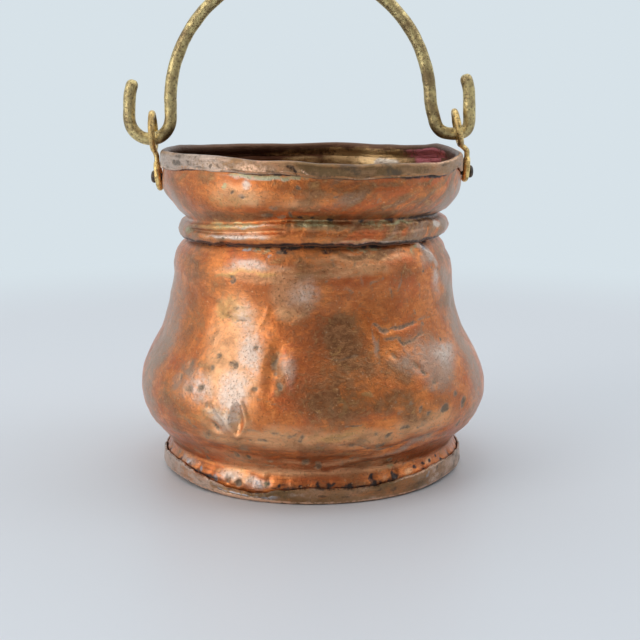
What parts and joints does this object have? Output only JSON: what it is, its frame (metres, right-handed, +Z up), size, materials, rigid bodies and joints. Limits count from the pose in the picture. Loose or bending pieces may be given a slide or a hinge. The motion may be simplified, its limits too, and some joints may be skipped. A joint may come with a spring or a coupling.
{
  "type": "cooking pot",
  "caption": "Small hand-raised copper pot with a flared and banded rim, a bead at the neck, a flanged foot and a swinging brass bail.",
  "frame": {"origin": "centre of the base, on the plane that the pot stands on", "axes": "+Z up along the pot's axis; X through the two rivets of the bail, with the left one at -X; the front of the pot faces -Y"},
  "size_m": [0.1469, 0.1424, 0.2023],
  "materials": {
    "copper": "hand-hammered copper, worn and patinated",
    "dull_copper": "dull brown copper",
    "brass": "aged brass with dark patina",
    "dark_rivet": "dark, matte"
  },
  "bodies": {
    "pot": {"body_shell": "copper", "collar": "copper", "rim_band": "dull_copper", "base_pan": "dull_copper", "left_rivet": "dark_rivet", "right_rivet": "dark_rivet"},
    "left_lug": {"left_lug": "brass"},
    "right_lug": {"right_lug": "brass"},
    "bail": {"bail": "brass"}
  },
  "joints": [
    {"name": "left_lug_swing", "type": "hinge", "parent": "pot", "child": "left_lug", "pos_m": [-0.06197, 0, 0.1178], "axis": [1, 0, 0], "range_deg": [-20, 20]},
    {"name": "right_lug_swing", "type": "hinge", "parent": "pot", "child": "right_lug", "pos_m": [0.06218, 0, 0.1199], "axis": [1, 0, 0], "range_deg": [-20, 20]},
    {"name": "bail_swing", "type": "hinge", "parent": "left_lug", "child": "bail", "pos_m": [-0.06374, 0, 0.1328], "axis": [0.9998, 0, 0.0179], "range_deg": [-70, 70]}
  ],
  "couplings": [
    {"joint": "right_lug_swing", "follows": "left_lug_swing", "ratio": 1}
  ]
}
